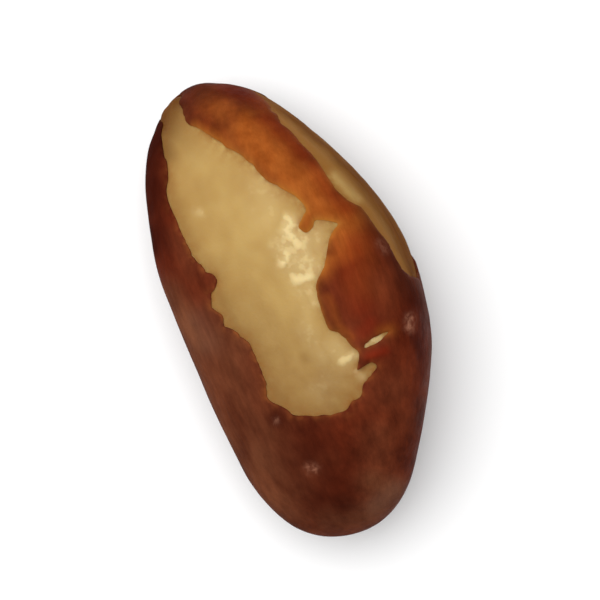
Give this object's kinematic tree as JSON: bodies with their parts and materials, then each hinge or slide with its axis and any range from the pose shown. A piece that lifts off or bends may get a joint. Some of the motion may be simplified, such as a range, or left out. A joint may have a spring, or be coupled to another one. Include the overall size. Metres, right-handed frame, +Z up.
{
  "type": "shelled brazil nut kernel",
  "caption": "Shelled Brazil nut kernel with an arched back and flattened sides, its brown skin partly rubbed off to the cream flesh, lying on its flat side.",
  "frame": {"origin": "under the middle of the kernel's box, on the surface that it rests on", "axes": "+X from the narrow tip to the blunt end, +Y towards the arched back, +Z up from the resting spot"},
  "size_m": [0.034, 0.0174, 0.0143],
  "materials": {
    "seed_skin": "satin",
    "kernel_flesh": "satin"
  },
  "bodies": {
    "root": {"brazil_nut_kernel": "seed_skin"}
  },
  "joints": []
}
